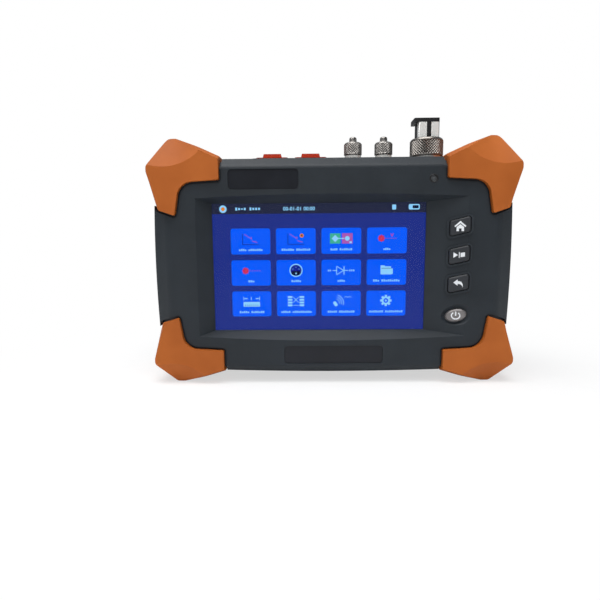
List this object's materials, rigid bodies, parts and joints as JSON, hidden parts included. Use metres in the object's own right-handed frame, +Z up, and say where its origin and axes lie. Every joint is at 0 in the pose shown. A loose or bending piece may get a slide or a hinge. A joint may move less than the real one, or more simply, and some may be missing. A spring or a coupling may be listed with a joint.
{
  "type": "optical time domain reflectometer",
  "caption": "Handheld fibre test set with a sloped screen well, keypad, corner bumpers, capped fibre ports and a fold-out stand.",
  "frame": {"origin": "on the floor under the middle of the instrument, halfway across its width and its depth", "axes": "+X to the right seen from the screen side, +Y from the screen to the back, +Z up towards the connector deck"},
  "size_m": [0.1864, 0.0528, 0.1365],
  "materials": {
    "bumper_rubber": "soft matt",
    "seal_rubber": "matt",
    "housing_plastic": "fine grain",
    "key_plastic": "satin",
    "power_key": "satin silver paint",
    "keypad_rubber": "matt",
    "circuit_board": "solder mask",
    "steel": "plain",
    "switch_metal": "pressed",
    "touch_glass": "polished",
    "display": "lit screen behind the glass",
    "brass": "turned",
    "shield_metal": "pressed can",
    "inlay": "satin film",
    "lamp_lens": "tinted",
    "jack_metal": "plated shell",
    "gold_contact": "gold plated",
    "jack_plastic": "moulded",
    "cover_rubber": "soft matt",
    "nickel": "turned nickel plate",
    "nickel_knurl": "knurled nickel plate",
    "polished_nickel": "polished nickel plate",
    "zirconia": "ground",
    "detector_metal": "can with window",
    "dust_plug": "moulded",
    "module_metal": "milled",
    "door_plastic": "fine grain",
    "battery": "shrink sleeve",
    "stand_plastic": "fine grain",
    "stand_rubber": "matt"
  },
  "bodies": {
    "instrument": {"bumper_upper_left": "bumper_rubber", "bumper_upper_right": "bumper_rubber", "bumper_lower_left": "bumper_rubber", "bumper_lower_right": "bumper_rubber", "case_seal": "seal_rubber", "front_shell": "housing_plastic", "rear_shell": "housing_plastic", "port_plate": "housing_plastic", "adapter_plate": "housing_plastic", "keypad_mat": "keypad_rubber", "key_board": "circuit_board", "key_board_screws": "steel", "key_switches": "switch_metal", "display_gasket": "seal_rubber", "touch_glass": "touch_glass", "display_panel": "display", "display_bracket": "steel", "board_standoffs": "brass", "board_screws": "steel", "main_board": "circuit_board", "processor_shield": "shield_metal", "supply_shield": "shield_metal", "upper_inlay": "inlay", "lower_inlay": "inlay", "lamp_lens": "lamp_lens", "lan_jack": "jack_metal", "lan_contacts": "gold_contact", "charging_jack": "jack_plastic", "data_jack": "jack_metal", "port_board": "circuit_board", "board_link": "jack_plastic", "cover_anchors": "cover_rubber", "test_adapter": "nickel", "locator_adapter": "nickel", "alignment_sleeves": "zirconia", "adapter_nuts": "nickel", "pigtail_ferrules": "zirconia", "meter_port": "nickel", "detector": "detector_metal", "meter_head": "polished_nickel", "optical_engine": "module_metal", "battery_door": "door_plastic", "battery_door_screws": "steel", "battery_pack": "battery", "shell_screws": "steel"},
    "home_button": {"key_home": "key_plastic"},
    "run_stop_button": {"key_run_stop": "key_plastic"},
    "back_button": {"key_back": "key_plastic"},
    "power_button": {"key_power": "power_key"},
    "lan_flap": {"lan_cover": "cover_rubber"},
    "supply_flap": {"supply_cover": "cover_rubber"},
    "test_dust_cap": {"test_cap": "nickel_knurl"},
    "locator_dust_cap": {"locator_cap": "nickel_knurl"},
    "lock_ring": {"coupling_ring": "nickel_knurl"},
    "meter_plug": {"meter_dust_plug": "dust_plug"},
    "bail": {"stand": "stand_plastic", "stand_pad": "stand_rubber"}
  },
  "joints": [
    {"name": "home_press", "type": "slide", "parent": "instrument", "child": "home_button", "axis": [0.2589, 0.9659, 0], "range_m": [0, 0.0008], "stiffness_N_per_m": 2500},
    {"name": "run_stop_press", "type": "slide", "parent": "instrument", "child": "run_stop_button", "axis": [0.2589, 0.9659, 0], "range_m": [0, 0.0008], "stiffness_N_per_m": 2500},
    {"name": "back_press", "type": "slide", "parent": "instrument", "child": "back_button", "axis": [0.2589, 0.9659, 0], "range_m": [0, 0.0008], "stiffness_N_per_m": 2500},
    {"name": "power_press", "type": "slide", "parent": "instrument", "child": "power_button", "axis": [0.2589, 0.9659, 0], "range_m": [0, 0.0008], "stiffness_N_per_m": 2500},
    {"name": "lan_flap_turn", "type": "hinge", "parent": "instrument", "child": "lan_flap", "pos_m": [-0.0311, 0.0086, 0.11575], "axis": [-1, 0, 0], "range_deg": [0, 110]},
    {"name": "supply_flap_turn", "type": "hinge", "parent": "instrument", "child": "supply_flap", "pos_m": [-0.0107, 0.0086, 0.11575], "axis": [-1, 0, 0], "range_deg": [0, 110]},
    {"name": "test_cap_lift", "type": "slide", "parent": "instrument", "child": "test_dust_cap", "axis": [0, 0, 1], "range_m": [0, 0.04]},
    {"name": "locator_cap_lift", "type": "slide", "parent": "instrument", "child": "locator_dust_cap", "axis": [0, 0, 1], "range_m": [0, 0.04]},
    {"name": "ring_turn", "type": "hinge", "parent": "instrument", "child": "lock_ring", "pos_m": [0.0517, 0.002, 0.1208], "axis": [0, 0, 1], "continuous": true},
    {"name": "plug_lift", "type": "slide", "parent": "instrument", "child": "meter_plug", "axis": [0, 0, 1], "range_m": [0, 0.025]},
    {"name": "stand_turn", "type": "hinge", "parent": "instrument", "child": "bail", "pos_m": [0, 0.0229, 0.0906], "axis": [1, 0, 0], "range_deg": [0, 65]}
  ]
}
